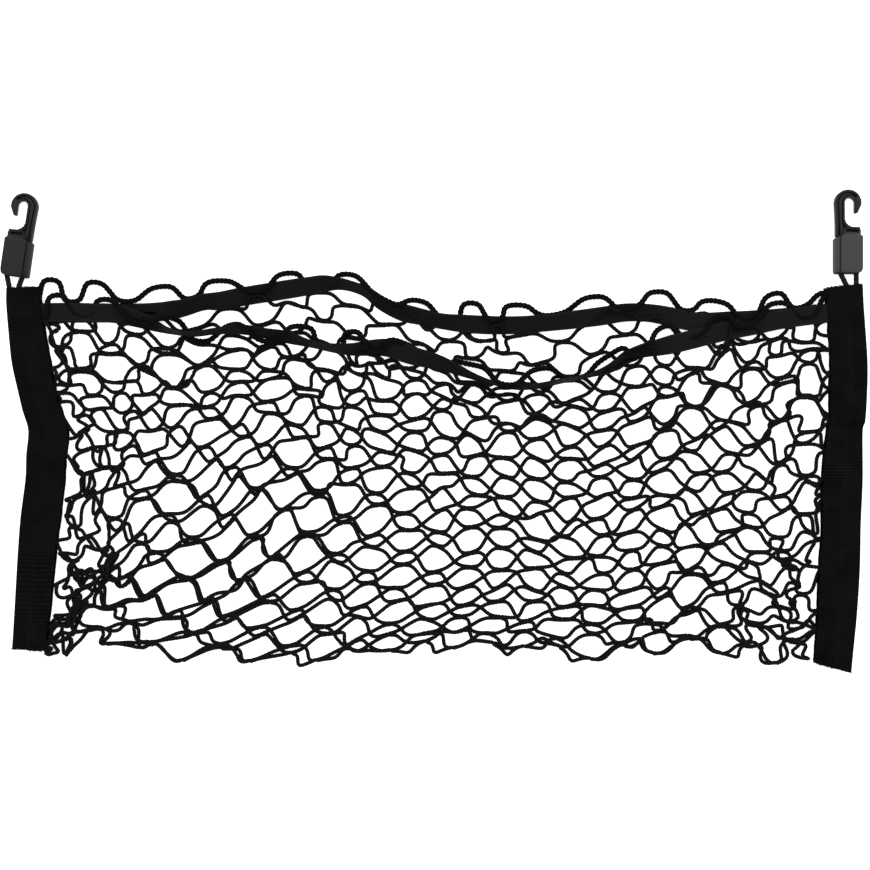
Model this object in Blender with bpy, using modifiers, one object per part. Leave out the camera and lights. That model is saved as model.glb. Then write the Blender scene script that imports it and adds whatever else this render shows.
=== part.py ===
"""Cargo net for a car boot: a netting pouch between two side tapes, with an elastic in each mouth edge.

The net lies empty on the ground with its mouth up the ground plane. Metres, +Z up. X runs across
the pouch, Y from its fold to its mouth. Lengths in the tables below are millimetres.

One piece of netting is folded along its bottom into a back layer and a front layer. Each side is
held in a wide tape folded lengthwise over it. A flat elastic is threaded along each mouth edge and
caught in both tapes. A loop of elastic cord in the top of each tape carries a plastic hook, whose
tongue sits in a hollow sleeve.
"""

import math

import bmesh
import bpy
import numpy as np
from mathutils import Matrix, Vector

MM = 0.001
TO_BOX_CENTRE = (-0.78, 0.54)  # moves the tables' own zero to the middle of the finished outline
CLEAR = 0.3                    # air between two pieces that meet

# Heights of the stacked layers, each taken to the piece's underside.
NET_THICK = 1.6
TAPE_THICK = 1.2
BAND_THICK = 1.0
BAND_WIDTH = 20.0
FRONT_NET_Z = 3.4              # the front layer above the ground
BACK_BAND_Z = 1.9
FRONT_BAND_Z = 5.4
IN_TAPE = {"back_net": 1.5, "back_band": 3.4, "front_net": 4.7, "front_band": 6.6}
RAMP = 20.0                    # run over which a layer climbs to its height in the tape
INSET = 12.0                   # how far the netting and the elastics reach into a tape
TAPE_OPEN = 6.7                # room between a tape's faces along its inner edge
SLACK_SWELL = 0.6              # how much the slack front layer stands up between its low places

NET_COLUMNS = 84
LAYER_ROWS = 5
FOLD_ROWS = 4
BAND_STEPS = 84
TAPE_STEPS = 16

# A side tape, a row per section from its top end down: height and place of its folded outer edge,
# the same of its open inner edge, and the room between its faces beside the fold.
TAPE_COLUMNS = ("outer_y", "outer_x", "inner_y", "inner_x", "room")
LEFT_TAPE = (
    (153, -450, 154, -414, 5.5),
    (136, -450, 136, -413, 5.5),
    (99, -448, 99, -408, 1.0),
    (73, -445, 73, -403, 1.0),
    (46, -439, 46, -398, 1.0),
    (25, -434, 25, -392, 1.0),
    (4, -428, 4, -385, 1.0),
    (-22, -430, -22, -387, 1.0),
    (-48, -431, -48, -389, 1.0),
    (-87, -436, -87, -393, 1.0),
    (-126, -439, -126, -398, 1.0),
    (-195, -443, -195, -405, 1.0),
    (-226, -445, -227, -408, 1.0),
)
RIGHT_TAPE = (
    (157, 449, 153, 409, 5.5),
    (136, 450, 134, 411, 5.5),
    (109, 453, 109, 413, 1.0),
    (78, 455, 78, 415, 1.0),
    (52, 455, 52, 414, 1.0),
    (16, 453, 16, 414, 1.0),
    (2, 450, 2, 411, 1.0),
    (-48, 450, -48, 406, 1.0),
    (-95, 448, -95, 406, 1.0),
    (-142, 447, -142, 403, 1.0),
    (-189, 444, -189, 401, 1.0),
    (-230, 440, -227, 399, 1.0),
    (-251, 438, -240, 398, 1.0),
)

# Scalloped mouth edge of each layer and the uneven bottom fold, from left to right.
EDGE_COLUMNS = ("x", "y")
BACK_EDGE = (
    (-426, 146), (-404, 151), (-388, 149), (-360, 158), (-333, 141), (-310, 142), (-285, 154),
    (-257, 144), (-228, 156), (-194, 154), (-152, 170), (-121, 163), (-91, 170), (-52, 142),
    (-21, 137), (5, 128), (37, 134), (68, 125), (91, 131), (131, 126), (170, 141), (205, 138),
    (242, 148), (268, 128), (291, 130), (320, 127), (350, 131), (383, 150), (424, 146),
)
FRONT_EDGE = (
    (-426, 140), (-400, 146), (-380, 138), (-354, 146), (-325, 136), (-290, 120), (-250, 109),
    (-205, 114), (-178, 110), (-133, 109), (-115, 98), (-87, 102), (-60, 95), (-39, 98),
    (-20, 86), (20, 70), (47, 64), (75, 56), (119, 66), (142, 61), (170, 68), (200, 83),
    (225, 98), (245, 108), (291, 124), (314, 119), (350, 131), (383, 140), (424, 140),
)
FOLD_EDGE = (
    (-412, -237), (-392, -234), (-373, -231), (-344, -220), (-322, -215), (-297, -239),
    (-257, -243), (-242, -248), (-210, -250), (-186, -234), (-158, -255), (-129, -243),
    (-94, -246), (-58, -234), (-10, -232), (68, -230), (89, -224), (129, -236), (165, -243),
    (227, -236), (249, -229), (277, -211), (292, -234), (309, -237), (324, -223), (359, -244),
    (377, -247), (392, -234), (402, -233),
)

# An elastic from left to right: its middle line, and how far it is rolled up on its lower edge.
BAND_COLUMNS = ("x", "y", "roll")
FRONT_BAND = (
    (-425, 127, 0), (-361, 127, 0), (-328, 125, 12), (-308, 119, 38), (-294, 114, 52),
    (-275, 107, 76), (-254, 104, 80), (-227, 107, 78), (-205, 109, 66), (-178, 105, 64),
    (-151, 100, 57), (-130, 94, 72), (-103, 89, 66), (-84, 88, 54), (-64, 90, 40),
    (-50, 90, 27), (-30, 84, 16), (-17, 80, 26), (-1, 76, 41), (16, 70, 55), (37, 61, 73),
    (65, 52, 82), (85, 49, 76), (107, 50, 76), (131, 55, 78), (164, 62, 78), (185, 70, 60),
    (198, 79, 50), (214, 86, 48), (236, 91, 30), (257, 96, 0), (314, 110, 0), (335, 114, 0),
    (363, 120, 0), (391, 124, 0), (422, 128, 0),
)
BACK_BAND = (
    (-425, 127, 0), (-361, 127, 0), (-284, 129, 0), (-262, 132, 38),
    (-240, 138, 41), (-227, 139, 27), (-206, 143, 24), (-151, 152, 22), (-131, 155, 30),
    (-118, 157, 37), (-103, 157, 57), (-84, 153, 65), (-70, 147, 61), (-58, 138, 51),
    (-44, 130, 47), (-30, 126, 30), (-17, 123, 37), (6, 118, 43), (37, 115, 25),
    (86, 114, 30), (114, 116, 34), (156, 121, 23), (178, 124, 20), (198, 127, 25),
    (229, 126, 28), (251, 122, 10), (265, 119, 0), (314, 119, 0), (363, 122, 0), (422, 128, 0),
)

# Hook and sleeve, in the hook's own frame: x to its open side, y to its bend, z off the ground.
SLEEVE_WIDTH = 28.0
SLEEVE_LENGTH = 44.0
SLEEVE_THICK = 14.0
SLEEVE_CHAMFER = 3.0
SLEEVE_WALL = 2.4
HOOK_THICK = 5.6
SPINE_LEFT = -13.2             # outer and inner side of the hook's upright
SPINE_RIGHT = -4.0
BEND_Y = 49.3                  # centre height of the hook's bend
BEND_OUTER = 13.4
THROAT_X = 1.4
THROAT_RADIUS = 5.4
TONGUE_HALF = 5.0
TONGUE_END = -12.0
TONGUE_TOP = 17.5
TONGUE_THICK = 8.4
SHOULDER_Y = 15.2
EYE_Y = -3.0                   # cross hole in the tongue that the cord runs through
CORD_RADIUS = 2.25
CORD_BEND = 4.6
HOOK_PLACES = {
    # side: centre of the sleeve, turn in degrees, mirrored, and the two cord ends in the tape
    "left": ((-437.2, 187.4), -8.2, True, ((-445.6, 141.0), (-436.7, 141.0))),
    "right": ((432.5, 190.5), 0.0, False, ((431.0, 141.0), (443.0, 141.0))),
}

BLACK_NET = ((0.011, 0.011, 0.012), 0.85)
BLACK_TAPE = ((0.010, 0.010, 0.011), 0.9)
BLACK_ELASTIC = ((0.014, 0.014, 0.015), 0.85)
BLACK_PLASTIC = ((0.05, 0.05, 0.052), 0.45)


def clear_scene():
    for obj in list(bpy.data.objects):
        bpy.data.objects.remove(obj, do_unlink=True)


def make_collection(name):
    collection = bpy.data.collections.new(name)
    bpy.context.scene.collection.children.link(collection)
    return collection


def make_material(name, colour, roughness):
    material = bpy.data.materials.new(name)
    material.use_nodes = True
    shader = material.node_tree.nodes["Principled BSDF"]
    shader.inputs["Base Color"].default_value = (*colour, 1.0)
    shader.inputs["Roughness"].default_value = roughness
    shader.inputs["Metallic"].default_value = 0.0
    return material


def column(table, columns, name):
    return np.array([row[columns.index(name)] for row in table], float)


def smooth(at, places, values):
    """Cubic Hermite curve through the table's values, with slopes from each row's neighbours."""
    at = np.asarray(at, float)
    slopes = np.gradient(values, places)
    index = np.clip(np.searchsorted(places, at) - 1, 0, len(places) - 2)
    run = places[index + 1] - places[index]
    t = np.clip((at - places[index]) / run, 0.0, 1.0)
    start = (1 + 2 * t) * (1 - t) ** 2 * values[index] + t * (1 - t) ** 2 * run * slopes[index]
    end = t * t * (3 - 2 * t) * values[index + 1] - t * t * (1 - t) * run * slopes[index + 1]
    return start + end


def ease(t):
    t = np.clip(t, 0.0, 1.0)
    return t * t * (3 - 2 * t)


def edge_at(table, name, height):
    """Where the tape's outer or inner edge is at this height."""
    heights = column(table, TAPE_COLUMNS, name + "_y")[::-1]
    places = column(table, TAPE_COLUMNS, name + "_x")[::-1]
    return smooth(np.clip(height, heights[0], heights[-1]), heights, places)


def in_tape_share(x, y, reach):
    """1 within reach of a tape's inner edge and inside it, falling to 0 over RAMP beyond that."""
    from_left = x - edge_at(LEFT_TAPE, "inner", y)
    from_right = edge_at(RIGHT_TAPE, "inner", y) - x
    return ease(1 - (np.minimum(from_left, from_right) - reach) / RAMP)


def grid_object(name, points, thickness, material, collection):
    """An open grid of points in mm, made a shell of this thickness about its middle."""
    rows, columns, _ = points.shape
    index = np.arange(rows * columns).reshape(rows, columns)
    corners = [index[:-1, :-1], index[:-1, 1:], index[1:, 1:], index[1:, :-1]]
    faces = np.stack(corners, axis=-1).reshape(-1, 4)
    mesh = bpy.data.meshes.new(name)
    mesh.from_pydata((points.reshape(-1, 3) * MM).tolist(), [], faces.tolist())
    mesh.shade_smooth()
    obj = bpy.data.objects.new(name, mesh)
    obj.data.materials.append(material)
    collection.objects.link(obj)
    shell = obj.modifiers.new("Thickness", "SOLIDIFY")
    shell.thickness = thickness * MM
    shell.offset = 0.0
    return obj


def layer_heights(x, y):
    """Middle heights of the back and the front layer of netting at these places."""
    back = IN_TAPE["back_net"] * in_tape_share(x, y, reach=2.0) + NET_THICK / 2
    lift = (IN_TAPE["front_net"] - FRONT_NET_Z) * in_tape_share(x, y, reach=2 * RAMP)
    return back, FRONT_NET_Z + lift + NET_THICK / 2


def make_net(material, collection):
    """Back layer, fold and front layer in one sheet: down the front, round the fold, up the back."""
    across = np.linspace(0.0, 1.0, NET_COLUMNS + 1)
    span = np.array([-426.0, 424.0])
    nominal = span[0] + across * (span[1] - span[0])
    edges = {}
    for name, table in (("front", FRONT_EDGE), ("back", BACK_EDGE), ("fold", FOLD_EDGE)):
        places = column(table, EDGE_COLUMNS, "x")
        edges[name] = smooth(nominal, places, column(table, EDGE_COLUMNS, "y"))

    def place(y):
        left_inset = INSET * ease((y - edges["fold"][0]) / INSET)
        left = edge_at(LEFT_TAPE, "inner", y) - left_inset
        right = edge_at(RIGHT_TAPE, "inner", y) + INSET
        return left + across * (right - left)

    rows = []
    down = np.linspace(0.0, 1.0, LAYER_ROWS + 1)
    foot = edges["fold"] + 3.0
    for share in down:
        y = edges["front"] + share * (foot - edges["front"])
        x = place(y)
        swell = SLACK_SWELL * np.sin(math.pi * share) ** 2 * np.sin(x / 37.0) ** 2
        rows.append((x, y, layer_heights(x, y)[1] + swell * (1 - in_tape_share(x, y, RAMP))))
    x = place(foot)
    back, front = layer_heights(x, foot)
    for share in np.linspace(0.0, 1.0, FOLD_ROWS + 1)[1:-1]:
        turn = math.pi * share
        radius = (front - back) / 2
        rows.append((x, foot - radius * math.sin(turn), (front + back) / 2 + radius * math.cos(turn)))
    for share in down:
        y = foot + share * (edges["back"] - foot)
        x = place(y)
        rows.append((x, y, layer_heights(x, y)[0]))
    points = np.stack([np.stack(row, axis=-1) for row in rows])
    return grid_object("net", points, NET_THICK, material, collection)


def make_tape(name, table, material, collection):
    """A strip folded lengthwise: lower face, round fold along the outer edge, upper face."""
    steps = np.linspace(0.0, 1.0, TAPE_STEPS + 1)
    rows = np.linspace(0.0, 1.0, len(table))
    values = {key: smooth(steps, rows, column(table, TAPE_COLUMNS, key)) for key in TAPE_COLUMNS}
    side = np.sign(values["outer_x"][0])
    radius = (values["room"] + TAPE_THICK) / 2
    fold_x = values["outer_x"] - side * (radius + TAPE_THICK / 2)
    width = np.abs(fold_x - values["inner_x"])
    low = np.full_like(steps, TAPE_THICK / 2)
    step_up = TAPE_OPEN + TAPE_THICK - 2 * radius

    def section(share, height):
        """A line along the tape, share 0 at its inner edge and 1 at the centre of its fold."""
        x = values["inner_x"] + side * share * width
        y = values["inner_y"] + share * (values["outer_y"] - values["inner_y"])
        return np.stack([x, y, height], axis=-1)

    lines = [section(share, low) for share in (0.0, 0.5, 1.0)]
    for turn in (45, 90, 135):
        line = section(1.0, low + radius * (1 - math.cos(math.radians(turn))))
        line[:, 0] += side * radius * math.sin(math.radians(turn))
        lines.append(line)
    for share in (1.0, 0.7, 0.58, 0.46, 0.0):
        lines.append(section(share, low + 2 * radius + step_up * float(ease((0.7 - share) / 0.24))))
    points = np.stack(lines)
    return grid_object(name, points, TAPE_THICK, material, collection)


def make_band(name, table, foot, lifted, reach, material, collection):
    """A flat strip along its middle line, rolled up on its lower long edge by the table's roll."""
    places = column(table, BAND_COLUMNS, "x")
    x = np.linspace(places[0], places[-1], BAND_STEPS + 1)
    y = smooth(x, places, column(table, BAND_COLUMNS, "y"))
    roll = np.radians(np.clip(smooth(x, places, column(table, BAND_COLUMNS, "roll")), 0, 84))
    along = np.stack([np.gradient(x), np.gradient(y)], axis=-1)
    along /= np.linalg.norm(along, axis=-1, keepdims=True)
    aside = np.stack([-along[:, 1] * np.cos(roll), along[:, 0] * np.cos(roll), np.sin(roll)], axis=-1)
    low_edge = foot + (lifted - foot) * in_tape_share(x, y, reach)
    half = BAND_WIDTH / 2
    middle = low_edge + half * np.sin(roll) + BAND_THICK / 2 * np.cos(roll)
    centre = np.stack([x, y, middle], axis=-1)
    points = np.stack([centre - half * aside, centre + half * aside])
    return grid_object(name, points, BAND_THICK, material, collection)


def arc(centre, radius, first, last, steps):
    """Points on a circle from the first to the last angle, in degrees."""
    turns = np.radians(np.linspace(first, last, steps + 1))
    return [(centre[0] + radius * math.cos(t), centre[1] + radius * math.sin(t)) for t in turns]


def plate_object(name, outline, low, high, chamfer=0.0):
    """A closed outline in mm made a plate between two heights, its rim chamfered."""
    curve = bpy.data.curves.new(name, "CURVE")
    curve.dimensions = "2D"
    curve.fill_mode = "BOTH"
    curve.extrude = ((high - low) / 2 - chamfer) * MM
    curve.bevel_depth = chamfer * MM
    curve.bevel_resolution = 0
    curve.offset = -chamfer * MM
    spline = curve.splines.new("POLY")
    spline.points.add(len(outline) - 1)
    for point, (x, y) in zip(spline.points, outline):
        point.co = (x * MM, y * MM, 0.0, 1.0)
    spline.use_cyclic_u = True
    flat = bpy.data.objects.new(name + "_outline", curve)
    bpy.context.scene.collection.objects.link(flat)
    graph = bpy.context.evaluated_depsgraph_get()
    mesh = bpy.data.meshes.new_from_object(flat.evaluated_get(graph))
    bpy.data.objects.remove(flat)
    shape = bmesh.new()
    shape.from_mesh(mesh)
    bmesh.ops.remove_doubles(shape, verts=shape.verts, dist=0.00001)
    bmesh.ops.translate(shape, verts=shape.verts, vec=(0, 0, (low + high) / 2 * MM))
    bmesh.ops.recalc_face_normals(shape, faces=shape.faces)
    shape.to_mesh(mesh)
    shape.free()
    mesh.name = name
    return bpy.data.objects.new(name, mesh)


def combine(target, shape, operation, collection):
    """Adds a helper shape to the target, or cuts it away."""
    shape.hide_render = True
    shape.display_type = "WIRE"
    collection.objects.link(shape)
    step = target.modifiers.new(shape.name, "BOOLEAN")
    step.operation = operation
    step.object = shape


def box_outline(left, right, bottom, top):
    return [(left, bottom), (right, bottom), (right, top), (left, top)]


def hook_outline():
    """Upright, bend and tapered tip, then the throat's inner side down to the flat shoulder."""
    tip_centre = (8.1, 40.4)
    rim = arc((0.0, BEND_Y), BEND_OUTER, 180, -8, 16)
    tip = arc(tip_centre, 1.7, -20, -190, 5)
    throat = arc((THROAT_X, BEND_Y), THROAT_RADIUS, 0, 180, 9)
    cheek = [(SPINE_RIGHT, 33.0), (-3.2, 29.4), (-1.0, 26.4), (3.0, 24.4), (9.0, 23.8)]
    return [(SPINE_LEFT, SHOULDER_Y)] + rim + tip + throat + cheek + [(9.0, SHOULDER_Y)]


def sleeve_outline():
    half = SLEEVE_WIDTH / 2
    end = SLEEVE_LENGTH / 2
    return [
        (-half + 4, -end), (half - 4, -end), (half, -end + 4), (half, end - 6),
        (half - 4, end), (-half + 8, end), (-half, end - 8), (-half, -end + 4),
    ]


def hook_matrix(centre, turn, mirrored):
    place = Matrix.Translation(Vector((centre[0], centre[1], 0.0)) * MM)
    flip = Matrix.Diagonal((-1.0, 1.0, 1.0, 1.0)) if mirrored else Matrix.Identity(4)
    return place @ Matrix.Rotation(math.radians(turn), 4, "Z") @ flip


def set_place(obj, matrix):
    """Moves the mesh itself, so a mirrored hook keeps a plain unmirrored object."""
    obj.data.transform(matrix)
    if matrix.determinant() < 0:
        obj.data.flip_normals()


def make_hook(side, matrix, material, collection, cutters):
    middle = SLEEVE_THICK / 2
    low, high = middle - HOOK_THICK / 2, middle + HOOK_THICK / 2
    hook = plate_object("hook_" + side, hook_outline(), low, high, chamfer=0.6)
    tongue = plate_object(
        "tongue_" + side, box_outline(-TONGUE_HALF, TONGUE_HALF, TONGUE_END, TONGUE_TOP),
        middle - TONGUE_THICK / 2, middle + TONGUE_THICK / 2,
    )
    eye = bmesh.new()
    reach = Matrix.Translation((0, EYE_Y * MM, middle * MM)) @ Matrix.Rotation(math.pi / 2, 4, "Y")
    bmesh.ops.create_cone(
        eye, cap_ends=True, segments=16, radius1=(CORD_RADIUS + CLEAR + 0.1) * MM,
        radius2=(CORD_RADIUS + CLEAR + 0.1) * MM, depth=4 * TONGUE_HALF * MM, matrix=reach,
    )
    eye_mesh = bpy.data.meshes.new("eye_" + side)
    eye.to_mesh(eye_mesh)
    eye.free()
    eye_cutter = bpy.data.objects.new("eye_" + side, eye_mesh)
    for shape in (hook, tongue, eye_cutter):
        set_place(shape, matrix)
    combine(hook, tongue, "UNION", cutters)
    combine(hook, eye_cutter, "DIFFERENCE", cutters)
    hook.data.materials.append(material)
    collection.objects.link(hook)


def make_sleeve(side, matrix, material, collection, cutters):
    sleeve = plate_object("hook_sleeve_" + side, sleeve_outline(), 0.0, SLEEVE_THICK, SLEEVE_CHAMFER)
    middle = SLEEVE_THICK / 2
    half = SLEEVE_WIDTH / 2 - SLEEVE_WALL
    end = SLEEVE_LENGTH / 2
    room = HOOK_THICK / 2 + CLEAR
    floor = SHOULDER_Y - CLEAR
    cavity_top = floor - SLEEVE_WALL
    cuts = {
        "cavity": (box_outline(-half, half, -end - 5, cavity_top), SLEEVE_WALL, SLEEVE_THICK - SLEEVE_WALL),
        "mouth": (box_outline(-TONGUE_HALF - CLEAR, TONGUE_HALF + CLEAR, cavity_top - 1,
                              TONGUE_TOP + CLEAR),
                  middle - TONGUE_THICK / 2 - CLEAR, middle + TONGUE_THICK / 2 + CLEAR),
        "neck": (box_outline(SPINE_LEFT - CLEAR - 3, 9.0 + CLEAR, floor, end + 5),
                 middle - room, middle + room),
    }
    set_place(sleeve, matrix)
    for name, (outline, low, high) in cuts.items():
        shape = plate_object(name + "_" + side, outline, low, high)
        set_place(shape, matrix)
        combine(sleeve, shape, "DIFFERENCE", cutters)
    sleeve.data.materials.append(material)
    collection.objects.link(sleeve)


def make_cord(side, matrix, ends, material, collection):
    """Up from the tape, through the tongue's eye and back into the tape."""
    run = CORD_BEND + 4.0
    loop = arc((-4.0, EYE_Y - CORD_BEND), CORD_BEND, 180, 90, 5)
    loop += arc((4.0, EYE_Y - CORD_BEND), CORD_BEND, 90, 0, 5)
    loop = [(-run, -21.0), (-run, -14.0)] + loop + [(run, -14.0), (run, -21.0)]
    middle = SLEEVE_THICK / 2 * MM
    points = [matrix @ Vector((x * MM, y * MM, middle)) for x, y in loop]
    if points[0].x > points[-1].x:
        points.reverse()
    held = (TAPE_THICK + 5.5 / 2) * MM

    def tail(end, inner):
        """From the tape up to the sleeve: two points held flat in the tape, then a gentle rise."""
        foot = Vector((end[0] * MM, end[1] * MM, held))
        lip = Vector((end[0] * MM, 154.0 * MM, held))
        return [foot, lip, lip.lerp(inner, 0.35) + Vector((0, 0, -0.0004)), lip.lerp(inner, 0.75)]

    path = tail(ends[0], points[0]) + points + tail(ends[1], points[-1])[::-1]
    curve = bpy.data.curves.new("cord_loop_" + side, "CURVE")
    curve.dimensions = "3D"
    curve.bevel_depth = CORD_RADIUS * MM
    curve.bevel_resolution = 2
    curve.use_fill_caps = True
    spline = curve.splines.new("POLY")
    spline.points.add(len(path) - 1)
    for point, co in zip(spline.points, path):
        point.co = (*co, 1.0)
    obj = bpy.data.objects.new("cord_loop_" + side, curve)
    curve.materials.append(material)
    collection.objects.link(obj)


def main():
    clear_scene()
    parts = make_collection("cargo_net")
    cutters = make_collection("cutters")
    net = make_material("net_black", *BLACK_NET)
    tape = make_material("tape_black", *BLACK_TAPE)
    elastic = make_material("elastic_black", *BLACK_ELASTIC)
    plastic = make_material("plastic_black", *BLACK_PLASTIC)
    make_net(net, parts)
    make_tape("side_tape_left", LEFT_TAPE, tape, parts)
    make_tape("side_tape_right", RIGHT_TAPE, tape, parts)
    make_band("elastic_front", FRONT_BAND, FRONT_BAND_Z, IN_TAPE["front_band"], 3 * RAMP, elastic, parts)
    make_band("elastic_back", BACK_BAND, BACK_BAND_Z, IN_TAPE["back_band"], RAMP, elastic, parts)
    for side, (centre, turn, mirrored, ends) in HOOK_PLACES.items():
        matrix = hook_matrix(centre, turn, mirrored)
        make_hook(side, matrix, plastic, parts, cutters)
        make_sleeve(side, matrix, plastic, parts, cutters)
        make_cord(side, matrix, ends, elastic, parts)
    origin = bpy.data.objects.new("cargo_net_origin", None)
    origin.location = (TO_BOX_CENTRE[0] * MM, TO_BOX_CENTRE[1] * MM, 0.0)
    parts.objects.link(origin)
    for obj in list(parts.objects) + list(cutters.objects):
        if obj is not origin:
            obj.parent = origin


main()
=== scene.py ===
"""Looks of the cargo net: knitted netting, woven side tapes, rolled elastics, cords and moulded hooks.

Lengths in the tables are millimetres from the tables' own zero, and SHIFT moves that zero to the
shared frame's. X runs across the pouch, Y from its fold to its mouth, Z up from the ground.
"""

import math

import bpy
import numpy as np
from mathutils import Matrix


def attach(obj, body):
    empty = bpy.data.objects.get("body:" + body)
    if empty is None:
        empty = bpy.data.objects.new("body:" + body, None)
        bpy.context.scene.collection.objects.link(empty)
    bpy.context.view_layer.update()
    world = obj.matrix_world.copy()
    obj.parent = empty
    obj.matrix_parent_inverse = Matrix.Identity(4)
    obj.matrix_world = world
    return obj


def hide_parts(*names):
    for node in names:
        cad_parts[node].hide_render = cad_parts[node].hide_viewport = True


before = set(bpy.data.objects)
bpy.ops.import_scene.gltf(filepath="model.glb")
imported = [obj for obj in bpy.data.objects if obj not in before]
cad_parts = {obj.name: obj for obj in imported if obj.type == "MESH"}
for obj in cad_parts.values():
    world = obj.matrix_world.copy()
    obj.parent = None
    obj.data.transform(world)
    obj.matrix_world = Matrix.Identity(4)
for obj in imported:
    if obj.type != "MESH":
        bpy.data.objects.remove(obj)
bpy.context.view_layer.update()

MM = 0.001
SHIFT = (-0.78, 0.54)
UV_SPAN = 100.0          # mm of a strip to one of its UV map

# Netting: hexagonal meshes. Joints stand in columns, those of odd columns half a row lower.
STRAND = 32.0            # cord between two joints
JOINT = 12.0             # where two cords are knitted together
COLUMNS = 29
ROWS = 20                # front mouth edge is row 0, back mouth edge the last
FRONT_LEVEL = 112.0      # height across the front that its rows are shared out from
LEFT_HEM = -398.0        # where the netting meets the tapes before it follows their bends
RIGHT_HEM = 406.0
CORD_WIDE = 2.05         # half width and half height of a cord lying down
CORD_HIGH = 1.3
RINGS = 28               # along a cord from joint middle to joint middle
SIDES = 6
TAUT = 0.95              # shares of its length that a cord's joints are kept apart
SLACK = 0.62
PULLS = 80               # rounds of pulling the joints into place
CORD_PASSES = 13         # rounds of smoothing a cord
EDGE_PASSES = 11         # and a mouth edge, whose cord is thicker
EDGE_WIDE = 2.9
EDGE_HIGH = 2.2
EDGE_LOWEST = 2.45       # its middle off the ground
EDGE_STEP = 1.15         # between its rings

# Column, and its place along the back mouth, the front mouth, half way down and at the fold.
NET_COLUMNS = np.array((
    (0, -426, -426, -416, -424), (1, -420, -418, -400, -412), (2, -406, -402, -382, -403),
    (4, -362, -354, -342, -387), (6, -285, -282, -278, -343), (8, -228, -208, -214, -272),
    (10, -152, -133, -150, -200), (12, -91, -87, -90, -127), (14, -21, -39, -26, -52),
    (16, 39, 40, 40, 20), (18, 91, 115, 106, 94), (20, 170, 178, 174, 168),
    (22, 236, 242, 242, 238), (24, 296, 306, 302, 300), (26, 354, 362, 358, 354),
    (27, 386, 390, 386, 382), (28, 418, 418, 414, 408), (29, 430, 430, 426, 418),
), float)
# Place along the mouth and how high its edge stands there, back layer then front layer.
BACK_MOUTH = np.array((
    (-426, 152), (-404, 160), (-360, 158), (-324, 150), (-285, 154), (-228, 156), (-152, 168),
    (-91, 168), (-21, 138), (39, 134), (91, 131), (170, 141), (242, 148), (300, 134), (384, 150),
    (424, 150),
), float)
FRONT_MOUTH = np.array((
    (-426, 143), (-404, 144), (-356, 144), (-306, 134), (-252, 118), (-192, 114), (-133, 109),
    (-87, 102), (-39, 98), (0, 80), (40, 66), (75, 58), (115, 66), (150, 66), (178, 76), (200, 88),
    (247, 112), (318, 126), (384, 142), (424, 143),
), float)
FOLD = np.array((
    (-426, -236), (-411, -237), (-373, -231), (-344, -220), (-322, -215), (-297, -239),
    (-257, -243), (-210, -250), (-186, -236), (-158, -252), (-129, -243), (-94, -246),
    (-58, -234), (-10, -232), (68, -230), (89, -224), (129, -236), (165, -243), (227, -236),
    (249, -229), (277, -213), (292, -234), (324, -226), (359, -244), (377, -246), (392, -234),
    (424, -234),
), float)
# Place across, the row that lies at the fold there, and how much wider the upper rows open.
BODY = np.array((
    (-426, 9.08, 0.06), (-340, 9.04, 0.05), (-250, 9.03, 0.01), (-160, 9.04, -0.03),
    (-60, 9.10, -0.01), (60, 9.14, -0.02), (140, 9.12, 0.0), (250, 9.01, 0.0),
    (424, 9.0, 0.0),
), float)

# A side tape from its top end down: outer edge height and place, inner edge height and place,
# and the room between its faces beside the fold.
LEFT_TAPE = np.array((
    (153, -450, 154, -414, 5.5), (136, -450, 136, -413, 5.5), (99, -448, 99, -408, 1.0),
    (73, -445, 73, -403, 1.0), (46, -439, 46, -398, 1.0), (25, -434, 25, -392, 1.0),
    (4, -428, 4, -385, 1.0), (-22, -430, -22, -387, 1.0), (-48, -431, -48, -389, 1.0),
    (-87, -436, -87, -393, 1.0), (-126, -439, -126, -398, 1.0), (-195, -443, -195, -405, 1.0),
    (-226, -445, -227, -408, 1.0),
), float)
RIGHT_TAPE = np.array((
    (157, 449, 153, 409, 5.5), (136, 450, 134, 411, 5.5), (109, 453, 109, 413, 1.0),
    (78, 455, 78, 415, 1.0), (52, 455, 52, 414, 1.0), (16, 453, 16, 414, 1.0),
    (2, 450, 2, 411, 1.0), (-48, 450, -48, 406, 1.0), (-95, 448, -95, 406, 1.0),
    (-142, 447, -142, 403, 1.0), (-189, 444, -189, 401, 1.0), (-230, 440, -227, 399, 1.0),
    (-251, 438, -240, 398, 1.0),
), float)
TAPE_THICK = 1.2
TAPE_OPEN = 6.7          # room between its faces where the netting lies
TAPE_WIDTH = 38.0        # of one face, for its UV map
TAPE_ROWS = 370
TAPE_ACROSS = 15
TAPE_NET_TOP = 6.2       # highest cord middle between its faces
IN_TAPE = 12.0           # how far the netting reaches in past the inner edge
RIB = 2.1
STITCH_HALF = 1.3
STITCH_STEP = 3.6
SEAM_IN = 8.4            # from the inner edge
THREADS = 110            # loose ends at each cut

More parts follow.
